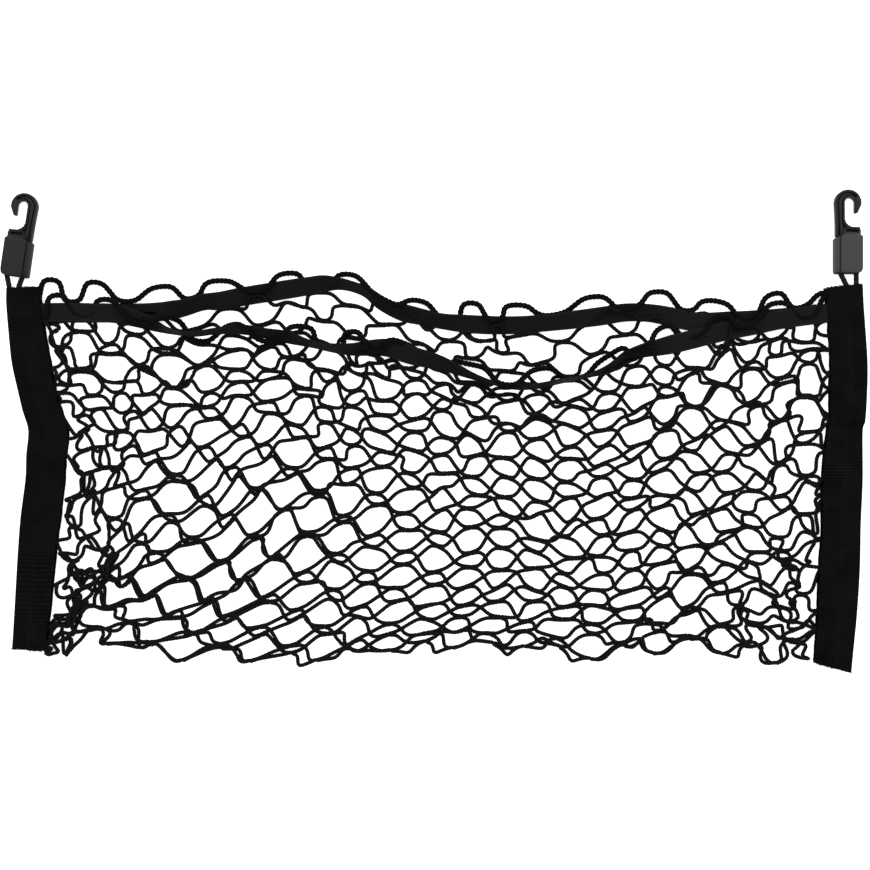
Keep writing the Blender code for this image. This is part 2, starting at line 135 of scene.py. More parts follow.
# An elastic from left to right: its middle line, and how far it is rolled up on its lower edge.
FRONT_BAND = np.array((
    (-425, 127, 0), (-361, 127, 0), (-328, 125, 12), (-308, 119, 38), (-294, 114, 52),
    (-275, 107, 76), (-254, 104, 80), (-227, 107, 78), (-205, 109, 66), (-178, 105, 64),
    (-151, 100, 57), (-130, 94, 72), (-103, 89, 66), (-84, 88, 54), (-64, 90, 40),
    (-50, 90, 27), (-30, 84, 16), (-17, 80, 26), (-1, 76, 41), (16, 70, 55), (37, 61, 73),
    (65, 52, 82), (85, 49, 76), (107, 50, 76), (131, 55, 78), (164, 62, 78), (185, 70, 60),
    (198, 79, 50), (214, 86, 48), (236, 91, 30), (257, 96, 0), (314, 110, 0), (335, 114, 0),
    (363, 120, 0), (391, 124, 0), (422, 128, 0),
), float)
BACK_BAND = np.array((
    (-425, 127, 0), (-361, 127, 0), (-284, 129, 0), (-262, 132, 38),
    (-240, 138, 41), (-227, 139, 27), (-206, 143, 24), (-151, 152, 22), (-131, 155, 30),
    (-118, 157, 37), (-103, 157, 57), (-84, 153, 65), (-70, 147, 61), (-58, 138, 51),
    (-44, 130, 47), (-30, 126, 30), (-17, 123, 37), (6, 118, 43), (37, 115, 25),
    (86, 114, 30), (114, 116, 34), (156, 121, 23), (178, 124, 20), (198, 127, 25),
    (229, 126, 28), (251, 122, 10), (265, 119, 0), (314, 119, 0), (363, 122, 0), (422, 128, 0),
), float)
BAND_WIDTH = 20.0
BAND_THICK = 1.0
BAND_STEPS = 420
BAND_ACROSS = 15
BAND_FOOT = {"back": 2.7, "front": 5.6}
IN_TAPE_NET = {"back": 2.6, "front": 5.3}
IN_TAPE_BAND = {"back": 3.9, "front": 6.6}

# Hook and sleeve, in the hook's own frame: x to its open side, y to its bend, z off the ground.
BEND_X = -0.5
BEND_Y = 51.2
BEND_OUTER = 13.9
THROAT_X = 1.2
THROAT_RADIUS = 5.4
MIDDLE = 7.0
HOOK_LOW = 4.2
HOOK_HIGH = 9.8
HOOK_PLACES = {
    # side: centre of the sleeve, turn in degrees, mirrored, and the two cord ends in the tape
    "left": ((-437.2, 187.4), -8.2, True, ((-447.0, 141.0), (-437.4, 141.0))),
    "right": ((432.5, 190.5), 0.0, False, ((433.0, 141.0), (442.4, 141.0))),
}


# ---------------------------------------------------------------- shapes worked out as arrays

def between(table, at, field=1):
    """A field of the table at these places, along straight lines between its rows."""
    return np.interp(at, table[:, 0], table[:, field])


def smooth(at, places, values):
    """Cubic Hermite curve through the values, each slope taken from its two neighbours."""
    at = np.asarray(at, float)
    slopes = np.gradient(values, places)
    index = np.clip(np.searchsorted(places, at) - 1, 0, len(places) - 2)
    run = places[index + 1] - places[index]
    t = np.clip((at - places[index]) / run, 0.0, 1.0)
    start = (1 + 2 * t) * (1 - t) ** 2 * values[index] + t * (1 - t) ** 2 * run * slopes[index]
    end = t * t * (3 - 2 * t) * values[index + 1] - t * t * (1 - t) * run * slopes[index + 1]
    return start + end


def ease(t):
    """3t² − 2t³ of t held between 0 and 1."""
    t = np.clip(t, 0.0, 1.0)
    return t * t * (3 - 2 * t)


def inner_edge(table, y):
    """Place of a tape's inner edge at height y, by the smooth curve through its rows."""
    heights, places = table[::-1, 2], table[::-1, 3]
    return smooth(np.clip(y, heights[0], heights[-1]), heights, places)


def tape_share(x, y, reach, ramp=20.0):
    """1 inside a tape or within reach of it, eased to 0 over the ramp beyond that."""
    from_left = x - inner_edge(LEFT_TAPE, y)
    from_right = inner_edge(RIGHT_TAPE, y) - x
    return ease(1 - (np.minimum(from_left, from_right) - reach) / ramp)


def softened(table, x):
    """The table's value at x, averaged with its value at four places up to 60 mm away."""
    weights = ((-60, 0.1), (-30, 0.2), (0, 0.4), (30, 0.2), (60, 0.1))
    return sum(between(table, x + away) * part for away, part in weights)


def lower_left(x, y, top):
    """1 at the lower left, where the netting hangs skewed, eased to 0 at x = -60 and at the top."""
    return ease((-60 - x) / 110) * ease((top - y) / 90)


def waves(rng, x, y, size, reach):
    """Sum of six sine waves over the plane, of random direction, length about reach and phase."""
    out = np.zeros_like(x)
    for heading, stretch, phase in rng.random((6, 3)):
        heading = heading * 2 * math.pi
        rate = 2 * math.pi / (reach * (0.6 + stretch))
        out += np.sin((x * math.cos(heading) + y * math.sin(heading)) * rate + phase * 2 * math.pi)
    return size * out / math.sqrt(3)


def joint_homes(column, row):
    """Where each joint lies: across by the column table, a quadratic from mouth to fold, and down
    by its share of the rows of its layer, widened or bunched by the body table. Near the mouth and
    the fold it follows their edges, and near a tape the tape's bends."""
    half_way = between(NET_COLUMNS, column, 3)
    fold_row = between(BODY, half_way)
    front = row < fold_row
    mouth = np.where(front, between(NET_COLUMNS, column, 2), between(NET_COLUMNS, column))
    foot = between(NET_COLUMNS, column, 4)
    rows = np.where(front, fold_row, ROWS - fold_row)
    t = np.clip(np.where(front, row, ROWS - row) / rows, 0, 1)
    bend = 2 * half_way - (mouth + foot) / 2
    x = (1 - t) ** 2 * mouth + 2 * t * (1 - t) * bend + t ** 2 * foot
    beside = np.clip(t / 0.2, 0, 1)
    outermost = np.where(t > 0.5, half_way + (foot - half_way) * (2 * t - 1), half_way)
    x = np.where((column < 2) | (column > COLUMNS - 2), mouth + (outermost - mouth) * beside, x)
    edge = np.where(front, between(FRONT_MOUTH, x), between(BACK_MOUTH, x))
    soft_edge = np.where(front, softened(FRONT_MOUTH, x), softened(BACK_MOUTH, x))
    fold = between(FOLD, x) + 2.5
    soft_fold = softened(FOLD, x)
    opened = between(BODY, x, 2)
    level = np.where(front, FRONT_LEVEL, np.interp(x, [-110, 30], [168.0, 140.0]))

    def down_to(share):
        """Share of the way down to the fold at this share of the rows."""
        return share + opened * np.sin(np.pi * share) - 0.03 * np.sin(2 * np.pi * share)

    y = level + (soft_fold - level) * down_to(t) + (soft_edge - level) * (1 - t) ** 2.2
    # at the lower left the back layer's rows lie right behind the front's
    alike = np.clip(1 - (1 - t) * rows / fold_row, 0, 1)
    behind = np.where(front, 0.0, lower_left(x, y, 70))
    y += (FRONT_LEVEL + (soft_fold - FRONT_LEVEL) * down_to(alike) - y) * behind
    y += (edge - soft_edge) * np.exp(-t * rows / 0.8)
    y += 0.7 * (fold - soft_fold) * np.exp(-(1 - t) * rows / 0.8)
    left = inner_edge(LEFT_TAPE, y) - LEFT_HEM
    right = inner_edge(RIGHT_TAPE, y) - RIGHT_HEM
    x = x + left * np.clip(1 - column / 8, 0, 1) * beside
    x = x + right * np.clip(1 - (COLUMNS - column) / 8, 0, 1) * beside
    return x, y, front, t


def hermite(a, b, leave, arrive, s):
    """Cubic Hermite curves from a to b with these tangents, at the shares s."""
    s = s[None, :, None]
    return (
        (2 * s ** 3 - 3 * s ** 2 + 1) * a[:, None] + (s ** 3 - 2 * s ** 2 + s) * leave[:, None]
        + (3 * s ** 2 - 2 * s ** 3) * b[:, None] + (s ** 3 - s ** 2) * arrive[:, None]
    )


def run_length(paths):
    """Length of each path, summed over its pieces."""
    return np.linalg.norm(np.diff(paths, axis=1), axis=-1).sum(1)


def solve(measure, low, high, want):
    """The value between low and high whose measure is nearest the wanted one, by halving."""
    for _ in range(12):
        middle = (low + high) / 2
        over = measure(middle) > want
        high = np.where(over, middle, high)
        low = np.where(over, low, middle)
    return (low + high) / 2


def distances(paths):
    """How far along its path each point is, summed over the pieces before it."""
    steps = np.linalg.norm(np.diff(paths, axis=1), axis=-1)
    return np.concatenate([np.zeros((len(paths), 1)), np.cumsum(steps, axis=1)], axis=1)


def directions(vectors):
    """The vectors at length 1."""
    return vectors / np.maximum(np.linalg.norm(vectors, axis=-1, keepdims=True), 1e-9)


def resample(paths, count):
    """Each path with this many points, evenly spaced along it by linear interpolation."""
    along = distances(paths)
    want = np.linspace(0, 1, count)[None] * along[:, -1:]
    index = np.clip((along[:, None, 1:-1] <= want[:, :, None]).sum(-1), 0, paths.shape[1] - 2)
    pick = np.arange(len(paths))[:, None]
    start, end = along[pick, index], along[pick, index + 1]
    share = ((want - start) / np.maximum(end - start, 1e-9))[..., None]
    return paths[pick, index] * (1 - share) + paths[pick, index + 1] * share


def smoothed(paths, passes):
    """The paths after each inner point has moved half way to its neighbours' middle, many times."""
    paths = paths.copy()
    for _ in range(passes):
        paths[:, 1:-1] += 0.5 * ((paths[:, :-2] + paths[:, 2:]) / 2 - paths[:, 1:-1])
    return paths


def lattice():
    """Column and row of each joint, and the two joints of each cord, the left one first."""
    column, row = np.meshgrid(np.arange(COLUMNS + 1), np.arange(ROWS + 1), indexing="ij")
    row = row + 0.5 * (column % 2)
    real = row <= ROWS
    column, row = column[real], row[real]
    twice = (row * 2).astype(int) + 1
    number = np.full((COLUMNS + 2, 2 * ROWS + 3), -1)
    number[column, twice] = np.arange(len(column))
    first = np.tile(np.arange(len(column)), 2)
    last = np.concatenate([number[column + 1, twice - 1], number[column + 1, twice + 1]])
    return column, row, first[last >= 0], last[last >= 0]


def wandered(rng, column, row):
    """Each joint's home with a smooth and a random wander, how far it is twisted and how hard it is
    drawn home. At the lower left, where the netting hangs skewed, both layers wander alike."""
    x, y, front, t = joint_homes(column, row)
    count = len(column)
    free = np.clip(t * 10, 0, 1)
    calm = 1 - np.clip((t - 0.7) / 0.25, 0, 1) * 0.7
    skewed = lower_left(x, y, 90)
    apart = 1 - 0.93 * skewed
    for layer in (front, ~front):
        x[layer] += waves(rng, x[layer], y[layer], 4.5, 150) * (0.3 + 0.7 * free[layer]) * apart[layer]
        y[layer] += waves(rng, x[layer], y[layer], 4.5, 150) * (free * calm * apart)[layer]
    shared_x = waves(rng, x, y, 5.0, 80)
    shared_y = waves(rng, x, y, 5.0, 80)
    away = np.clip(np.minimum(6 * t, 6 * (1 - t)), 0, 1) * ~front
    x += (4.0 + 5.0 * skewed) * away
    from_mouth = np.where(front, row, ROWS - row)
    y += np.where(from_mouth == 0, 7.0, 0.0) - np.where(from_mouth == 0.5, 5.0, 0.0)
    loose = np.interp(x, [-420, -370, -100, 100, 320, 400], [1.5, 1.1, 1.1, 1.0, 1.1, 1.9])
    loose = loose * np.where(t * 9 < 0.8, 0.45, 1.0)
    loose = loose * (1 + 0.8 * ease((x - 290) / 60) * ease((-60 - y) / 60))
    loose = loose * (1 - 0.4 * ease((x - 220) / 80) * ease(y / 60))
    x += rng.normal(0, 3.3, count) * loose * (1 - 0.6 * skewed) + shared_x * skewed
    y += (rng.normal(0, 3.3, count) * loose * (1 - 0.6 * skewed) + shared_y * skewed) * calm
    twist = rng.normal(0, 0.3, count) * np.where(t * 9 < 0.8, 0.3, 1.0) + 0.38 * skewed
    twist += 0.2 * ease((x - 120) / 100) * ease((y + 60) / 100)
    pull_home = np.where((from_mouth < 1) | (t > 0.96), 0.3, 0.02)[:, None]
    return np.stack([x, y], axis=-1), twist, pull_home


def along_joints(centre, first, last, twist):
    """Unit vectors from the middle of each joint's left neighbours to that of its right ones,
    turned by its twist."""
    count = len(centre)
    ahead, behind = np.zeros((count, 2)), np.zeros((count, 2))
    np.add.at(ahead, first, centre[last])
    np.add.at(behind, last, centre[first])
    after = np.bincount(first, minlength=count)[:, None]
    before = np.bincount(last, minlength=count)[:, None]
    ahead = np.where(after > 0, ahead / np.maximum(after, 1), centre)
    behind = np.where(before > 0, behind / np.maximum(before, 1), centre)
    across = ahead - behind
    angle = np.arctan2(across[:, 1], np.maximum(across[:, 0], 6.0)) * 0.8 + twist
    return np.stack([np.cos(angle), np.sin(angle)], axis=-1)


def pulled_together(home, twist, pull_home, first, last, gathered):
    """Middle and direction of each joint, after many rounds in which a cord that is too long or
    too slack moves its two joints, half as much where the netting is gathered, and each joint is
    drawn home."""
    centre = home.copy()
    count = len(home)
    for _ in range(PULLS):
        unit = along_joints(centre, first, last, twist)
        a = centre[first] + unit[first] * JOINT / 2
        b = centre[last] - unit[last] * JOINT / 2
        apart = b - a
        distance = np.linalg.norm(apart, axis=1)
        over = np.maximum(distance - STRAND * TAUT, 0)
        over += np.where(gathered, 0.4, 1.0) * np.minimum(distance - STRAND * SLACK, 0)
        push = apart / np.maximum(distance, 1e-6)[:, None] * over[:, None] * 0.5
        moves = np.zeros_like(centre)
        np.add.at(moves, first, push)
        np.add.at(moves, last, -push)
        uses = np.bincount(first[over != 0], minlength=count)
        uses = uses + np.bincount(last[over != 0], minlength=count)
        centre += moves / np.maximum(uses, 1)[:, None] * 1.4 + (home - centre) * pull_home
    return centre, along_joints(centre, first, last, twist)


def cord_curves(rng, a, b, leave, arrive):
    """Curves of the cords' own lengths from a to b. Each is a Hermite curve that leaves and meets
    its joints along them, pulled out as far as it may be, then bowed aside for the rest by the sine
    to the power 1.5, leaning to one end."""
    s = np.linspace(0, 1, 17)
    aside = directions(np.stack([a[:, 1] - b[:, 1], b[:, 0] - a[:, 0]], axis=-1))
    size = len(a)
    want = STRAND + rng.normal(0, 0.5, size)

    def pulled(pull):
        """The curves with tangents of this length."""
        return hermite(a, b, leave * pull[:, None], arrive * pull[:, None], s)

    plain = pulled(solve(lambda v: run_length(pulled(v)), np.full(size, 4.0), np.full(size, 38.0), want))
    side = rng.choice([-1.0, 1.0], size)[:, None]
    lean = rng.uniform(0.0, 0.5, size)[:, None]
    bow = np.sin(np.pi * s) ** 1.5 + lean * np.sin(2 * np.pi * s) * np.sin(np.pi * s)

    def bowed(amount):
        """The curves bowed aside by this much."""
        return plain + (side * amount[:, None] * bow)[..., None] * aside[:, None]

    return bowed(solve(lambda v: run_length(bowed(v)), np.zeros(size), np.full(size, 16.0), want))


def netting(rng):
    """The netting laid out flat: the lattice, and a path for each cord, which runs on from its
    curve to its joints' middles, a little to the side so that it lies beside its neighbour."""
    column, row, first, last = lattice()
    home, twist, pull_home = wandered(rng, column, row)
    gathered = (column[first] < 3) | (column[last] > COLUMNS - 3)
    centre, unit = pulled_together(home, twist, pull_home, first, last, gathered)
    leave, arrive = unit[first], unit[last]
    a = centre[first] + leave * JOINT / 2
    b = centre[last] - arrive * JOINT / 2
    curves = cord_curves(rng, a, b, leave, arrive)
    fall = np.where(row[last] > row[first], -1.0, 1.0)[:, None]
    fall = np.where((row[first] < fold_rows(column[first]))[:, None], fall, -fall)
    normal_a = np.stack([-leave[:, 1], leave[:, 0]], axis=-1) * 0.85 * fall
    normal_b = np.stack([-arrive[:, 1], arrive[:, 0]], axis=-1) * -0.85 * fall
    head = [centre[first] - leave * 0.6 + normal_a, a - leave * 2.2 + normal_a * 0.8]
    tail = [b + arrive * 2.2 + normal_b * 0.8, centre[last] + arrive * 0.6 + normal_b]
    paths = np.concatenate([np.stack(head, axis=1), curves, np.stack(tail, axis=1)], axis=1)
    return column, row, first, last, resample(smoothed(paths, CORD_PASSES), RINGS)


def fold_rows(column):
    """The row that lies at the fold in each column."""
    return between(BODY, between(NET_COLUMNS, column, 3))


# ---------------------------------------------------------------- laying one thing on another

CELL = 1.5
GRID_X, GRID_Y = -475.0, -290.0
GRID_CELLS = (640, 320)
RING_STEP = 1.6          # between the rings of a cord


def cells(x, y):
    """Row and column of the height grid at these places."""
    i = np.clip(((x - GRID_X) / CELL).astype(int), 1, GRID_CELLS[0] - 2)
    j = np.clip(((y - GRID_Y) / CELL).astype(int), 1, GRID_CELLS[1] - 2)
    return i, j


def heap(ground, x, y, top):
    """Raises the height grid to the top of these points and a little less in the cells around."""
    i, j = cells(x, y)
    for di, dj in ((0, 0), (1, 0), (-1, 0), (0, 1), (0, -1)):
        np.maximum.at(ground, (i + di, j + dj), top - 0.25 * (abs(di) + abs(dj)))


def draped(need):
    """Lowest height that clears what each point needs and falls away gently on both sides: a
    cosine step of one cord's height over 9 mm, and a straight fall of 1 in 1 from 6 mm away."""
    out = need.copy()
    reach = int(30.0 / RING_STEP)
    for step in range(1, reach):
        away = step * RING_STEP
        fall = 2 * CORD_HIGH * (1 - math.cos(math.pi * min(away, 9.0) / 9.0)) / 2
        fall += max(away - 6.0, 0.0)
        out[:, step:] = np.maximum(out[:, step:], need[:, :-step] - fall)
        out[:, :-step] = np.maximum(out[:, :-step], need[:, step:] - fall)
    return out


def settle(paths, first, last, joints, ground, floor):
    """Heights of cord middles on the grid. Each joint rises to what its cords need there, and the
    cords are laid in four turns, each on the turns before it where they cross away from joints."""
    i, j = cells(paths[..., 0], paths[..., 1])
    need = np.maximum(ground[i, j] + CORD_HIGH, floor)
    level = np.zeros(joints)
    np.maximum.at(level, first, need[:, :3].max(1))
    np.maximum.at(level, last, need[:, -3:].max(1))
    need[:, 0], need[:, -1] = level[first], level[last]
    height = draped(need)
    inner = slice(6, RINGS - 6)
    crossing = np.zeros_like(ground)
    turn = (first * 7 + last * 3) % 4
    for value in range(4):
        mine = turn == value
        lifted = need[mine].copy()
        part = crossing[i[mine][:, inner], j[mine][:, inner]]
        lifted[:, inner] = np.maximum(lifted[:, inner], part + CORD_HIGH)
        height[mine] = draped(lifted)
        where = paths[mine][:, inner]
        heap(crossing, where[..., 0], where[..., 1], height[mine][:, inner] + CORD_HIGH)
    return height


# ---------------------------------------------------------------- meshes

def mesh_piece(name, points, faces, material, values=None, uv=None, sharp=None):
    """Points in mm and lists of equal-sided faces as one object, with a float attribute for each
    of the values and a UV map from one pair per point."""
    points = np.asarray(points, float).reshape(-1, 3) + np.array((*SHIFT, 0.0))
    corners = np.concatenate([np.asarray(part).ravel() for part in faces])
    sizes = np.concatenate([np.full(len(part), np.asarray(part).shape[1]) for part in faces])
    starts = np.concatenate([[0], np.cumsum(sizes)[:-1]])
    mesh = bpy.data.meshes.new(name)
    mesh.vertices.add(len(points))
    mesh.vertices.foreach_set("co", (points * MM).ravel())
    mesh.loops.add(len(corners))
    mesh.loops.foreach_set("vertex_index", corners.astype(np.int32))
    mesh.polygons.add(len(sizes))
    mesh.polygons.foreach_set("loop_start", starts.astype(np.int32))
    mesh.update(calc_edges=True)
    for key, value in (values or {}).items():
        mesh.attributes.new(key, "FLOAT", "POINT").data.foreach_set("value", np.ravel(value))
    if uv is not None:
        layer = mesh.uv_layers.new(name="UVMap")
        layer.data.foreach_set("uv", np.asarray(uv).reshape(-1, 2)[corners].ravel())
    mesh.shade_smooth()
    if sharp is not None:
        mesh.set_sharp_from_angle(angle=math.radians(sharp))
    obj = bpy.data.objects.new(name, mesh)
    obj.data.materials.append(material)
    bpy.context.scene.collection.objects.link(obj)
    return obj


def grid_faces(rows, columns):
    """Quads between neighbouring points of a grid."""
    index = np.arange(rows * columns).reshape(rows, columns)
    quads = np.stack([index[:-1, :-1], index[1:, :-1], index[1:, 1:], index[:-1, 1:]], axis=-1)
    return quads.reshape(-1, 4)


def thicken(piece, thickness):
    """Gives a sheet its thickness, half of it on each side."""
    shell = piece.modifiers.new("Thickness", "SOLIDIFY")
    shell.thickness = thickness * MM
    shell.offset = 0.0


def fit(piece, node):
    """The piece rides the fixed body and stands for the CAD node, which is hidden."""
    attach(piece, "root")
    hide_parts(node)


def tube_mesh(paths, wide, high, sides, beat=0.07, twist=0.0, lobes=2, pitch=None):
    """Closed tubes along paths [tube, ring, xyz], with one middle point over each end. A ring is an
    upright ellipse square to the path. It swells and shrinks by beat from ring to ring or, given a
    pitch, has that many lobes, which turn by twist in each pitch."""
    count, rings, _ = paths.shape
    tangent = directions(np.gradient(paths, axis=1))
    flat = np.zeros((count, rings))
    aside = directions(np.stack([-tangent[..., 1], tangent[..., 0], flat], axis=-1))
    upward = np.cross(tangent, aside)
    along = distances(paths)
    angle = np.arange(sides) / sides * 2 * np.pi
    if pitch is None:
        swell = 1 + beat * np.where(np.arange(rings) % 2, 1, -1)[None, :, None]
        swell = np.broadcast_to(swell, (count, rings, sides)).copy()
    else:
        phase = along[..., None] / pitch * 2 * np.pi
        swell = 1 + beat * np.cos(lobes * angle[None, None] - twist * phase)
    swell[:, (0, -1)] *= 0.55
    ring = (
        paths[:, :, None]
        + (swell * np.cos(angle) * wide)[..., None] * aside[:, :, None]
        + (swell * np.sin(angle) * high)[..., None] * upward[:, :, None]
    )
    poles = np.stack([paths[:, 0] - tangent[:, 0] * 0.5 * wide,
                      paths[:, -1] + tangent[:, -1] * 0.5 * wide], axis=1)
    points = np.concatenate([ring.reshape(-1, 3), poles.reshape(-1, 3)])
    index = np.arange(count * rings * sides).reshape(count, rings, sides)
    after = np.roll(index, -1, axis=2)
    quads = np.stack([index[:, :-1], after[:, :-1], after[:, 1:], index[:, 1:]], axis=-1)
    pole = count * rings * sides + np.arange(count * 2).reshape(count, 2)
    head = np.stack([np.broadcast_to(pole[:, :1], (count, sides)), after[:, 0], index[:, 0]], axis=-1)
    foot = np.stack([np.broadcast_to(pole[:, 1:], (count, sides)), index[:, -1], after[:, -1]], axis=-1)
    faces = [quads.reshape(-1, 4), head.reshape(-1, 3), foot.reshape(-1, 3)]
    ends = np.stack([along[:, 0], along[:, -1]], axis=1).ravel()
    along = np.concatenate([np.repeat(along[..., None], sides, axis=2).ravel(), ends])
    across = np.concatenate([np.broadcast_to(np.cos(angle), (count, rings, sides)).ravel(),
                             np.zeros(count * 2)])
    return points, faces, {"along": along, "across": across}


def loft(rings):
    """Closed skin through rings [ring, point, xyz], with a flat face over each end."""
    levels, count, _ = rings.shape
    index = np.arange(levels * count).reshape(levels, count)
    after = np.roll(index, -1, axis=1)
    quads = np.stack([index[:-1], after[:-1], after[1:], index[1:]], axis=-1).reshape(-1, 4)
    return rings.reshape(-1, 3), [quads, index[:1, ::-1], index[-1:]]


def inset(outline, amount):
    """A closed outline moved inward by this much, each corner along the sum of its two sides'
    normals, divided by that sum's square so that straight sides move evenly."""
    before = directions(outline - np.roll(outline, 1, axis=0))
    after = directions(np.roll(outline, -1, axis=0) - outline)
    inward = np.stack([-(before + after)[:, 1], (before + after)[:, 0]], axis=-1)
    square = (inward * inward).sum(1, keepdims=True)
    return outline + amount * 2 * inward / np.maximum(square, 1.2)


def plate(outline, low, high, round_off):
    """An outline, run anticlockwise, as a plate whose upper and lower rims are quarter circles in
    three steps."""
    outline = np.asarray(outline, float)
    turns = np.radians((0, 30, 60, 90))
    levels = [(low + round_off - round_off * math.cos(t), round_off * (1 - math.sin(t))) for t in turns]
    levels += [(high - round_off + round_off * math.sin(t), round_off * (1 - math.cos(t))) for t in turns]
    rings = [np.column_stack([inset(outline, away), np.full(len(outline), z)]) for z, away in levels]
    return loft(np.stack(rings))


def joined(shapes):
    """Several skins as one list of points and faces, and the painted shade of each point, dark where it
    lies deep in a groove or hollow.
    """
    points, faces, painted_shade, at = [], [], [], 0
    for (some, polygons), dark in shapes:
        points.append(some)
        faces += [np.asarray(part) + at for part in polygons]
        painted_shade.append(np.broadcast_to(dark, len(some)))
        at += len(some)
    return np.concatenate(points), faces, np.concatenate(painted_shade)


def arc(x, y, radius, first, last, steps):
    """Points on a circle from the first to the last angle, in degrees."""
    turns = np.radians(np.linspace(first, last, steps + 1))
    return np.column_stack([x + radius * np.cos(turns), y + radius * np.sin(turns)])


# ---------------------------------------------------------------- materials

class Value:
    """One socket of a shader tree that adds a Math node when it is added, multiplied and so on."""

    def __init__(self, tree, socket):
        """Keeps the tree and the socket that gives the value."""
        self.tree = tree
        self.socket = socket

    def apply(self, operation, *others):
        """A Math node of this operation on the value and the others."""
        node = self.tree.nodes.new("ShaderNodeMath")
        node.operation = operation
        for place, value in enumerate((self, *others)):
            plug(self.tree, node.inputs[place], value)
        return Value(self.tree, node.outputs[0])

    def __add__(self, other):
        """Value + other."""
        return self.apply("ADD", other)

    def __sub__(self, other):
        """Value - other."""
        return self.apply("SUBTRACT", other)

    def __rsub__(self, other):
        """Number - value."""
        return constant(self.tree, other).apply("SUBTRACT", self)

    def __mul__(self, other):
        """Value * other."""
        return self.apply("MULTIPLY", other)

    __radd__ = __add__
    __rmul__ = __mul__

    def wave(self, pitch):
        """Sine of the value with this pitch."""
        return (self * (2 * math.pi / pitch)).apply("SINE")

    def size(self):
        """The value without its sign."""
        return self.apply("ABSOLUTE")

    def rise(self, low, high):
        """0 below low, 1 above high, eased between."""
        span = self.apply("SUBTRACT", low).apply("DIVIDE", high - low)
        span = span.apply("MAXIMUM", 0.0).apply("MINIMUM", 1.0)
        return span * span * (3.0 - 2.0 * span)


def constant(tree, number):
    """A Value node that holds the number."""
    node = tree.nodes.new("ShaderNodeValue")
    node.outputs[0].default_value = number
    return Value(tree, node.outputs[0])


def plug(tree, target, value):
    """Links a value or an output to a socket, or sets the socket to a number or colour."""
    if isinstance(value, Value):
        tree.links.new(value.socket, target)
    elif hasattr(value, "is_output"):
        tree.links.new(value, target)
    else:
        target.default_value = value


def add_node(tree, kind, settings=None, inputs=None):
    """A node of this kind, its settings set first and then its sockets."""
    node = tree.nodes.new(kind)
    for key, value in (settings or {}).items():
        setattr(node, key, value)
    for key, value in (inputs or {}).items():
        plug(tree, node.inputs[key], value)
    return node


def object_noise(tree, scale, detail=2.0):
    """Noise from 0 to 1 in the object's own coordinates."""
    where = add_node(tree, "ShaderNodeTexCoord").outputs["Object"]
    noise = add_node(tree, "ShaderNodeTexNoise", inputs={"Vector": where, "Scale": scale, "Detail": detail})
    return Value(tree, noise.outputs[0])


def attribute(tree, name):
    """The float attribute of this name."""
    node = add_node(tree, "ShaderNodeAttribute", {"attribute_name": name})
    return Value(tree, node.outputs["Fac"])


def strip_places(tree):
    """Place across a strip from its middle line and place along it, in mm, from its UV map."""
    uv = add_node(tree, "ShaderNodeUVMap", {"uv_map": "UVMap"}).outputs["UV"]
    parts = add_node(tree, "ShaderNodeSeparateXYZ", inputs={"Vector": uv})
    return Value(tree, parts.outputs["X"]) * UV_SPAN, Value(tree, parts.outputs["Y"]) * UV_SPAN


def finish_material(name, low, high, gloss, pattern):
    """A material whose colour goes from low to high with the pattern's first value, whose bump is
    its second, in metres, and whose roughness is its third."""
    material = bpy.data.materials.new(name)
    material.use_nodes = True
    tree = material.node_tree
    shader = tree.nodes["Principled BSDF"]
    shade, height, roughness = pattern(tree)
    mix = add_node(tree, "ShaderNodeMix", {"data_type": "RGBA"}, {
        "Factor": shade, "A": (*low, 1.0), "B": (*high, 1.0)})
    plug(tree, shader.inputs["Base Color"], mix.outputs["Result"])
    bump = add_node(tree, "ShaderNodeBump", inputs={"Height": height, "Distance": 1.0, "Strength": 1.0})
    plug(tree, shader.inputs["Normal"], bump.outputs["Normal"])
    plug(tree, shader.inputs["Roughness"], roughness)
    shader.inputs["Specular IOR Level"].default_value = gloss
    shader.inputs["Metallic"].default_value = 0.0
    return material


def knit(pitch, slant, depth, roughness):
    """Rows of V-shaped stitches round a cord: a sine of the place along it, drawn out by slant on
    both sides, with fine fibre noise."""
    def pattern(tree):
        """Shade, height and roughness of the stitches."""
        along, across = attribute(tree, "along"), attribute(tree, "across")
        stitch = (along + across.size() * slant).wave(pitch)
        fibre = object_noise(tree, 1400.0)
        worn = object_noise(tree, 35.0)
        shade = (0.35 + 0.3 * stitch) * 0.7 + 0.35 * fibre + 0.25 * worn - 0.1
        return shade, (stitch * 0.6 + fibre * 0.8) * depth, roughness
    return pattern


def woven(tree):
    """Ribs across the tape with the warp showing as fine lines along it."""
    across, along = strip_places(tree)
    rib = along.wave(RIB)
    thread = (across + 0.25 * along.wave(2 * RIB)).wave(0.95)
    fibre = object_noise(tree, 1800.0)
    worn = object_noise(tree, 45.0, 4.0)
    shade = 0.33 + 0.15 * rib + 0.12 * thread * (0.5 + 0.5 * rib) + 0.5 * (fibre - 0.5) + 0.6 * (worn - 0.5)
    return shade, (rib * 0.9 + thread * 0.5 + fibre * 0.7) * 0.00012, 0.9


def stretch_weave(tree):
    """Fine lines along the elastic, with a paler line just inside each edge: a painted highlight where the
    edge rounds over, also raised a little by the bump.
    """
    across, along = strip_places(tree)
    from_middle = across.size()
    # painted highlight: a paler line just inside each edge
    edge = from_middle.rise(8.0, 8.6) * (1.0 - from_middle.rise(9.0, 9.6))
    line = across.wave(1.25)
    tick = along.wave(0.9)
    fibre = object_noise(tree, 1500.0)
    shade = 0.3 + 0.12 * line + 0.06 * tick + 0.55 * edge + 0.25 * (fibre - 0.5)
    return shade, (line * 0.5 + tick * 0.25 + edge * 1.2 + fibre * 0.3) * 0.0001, 0.8


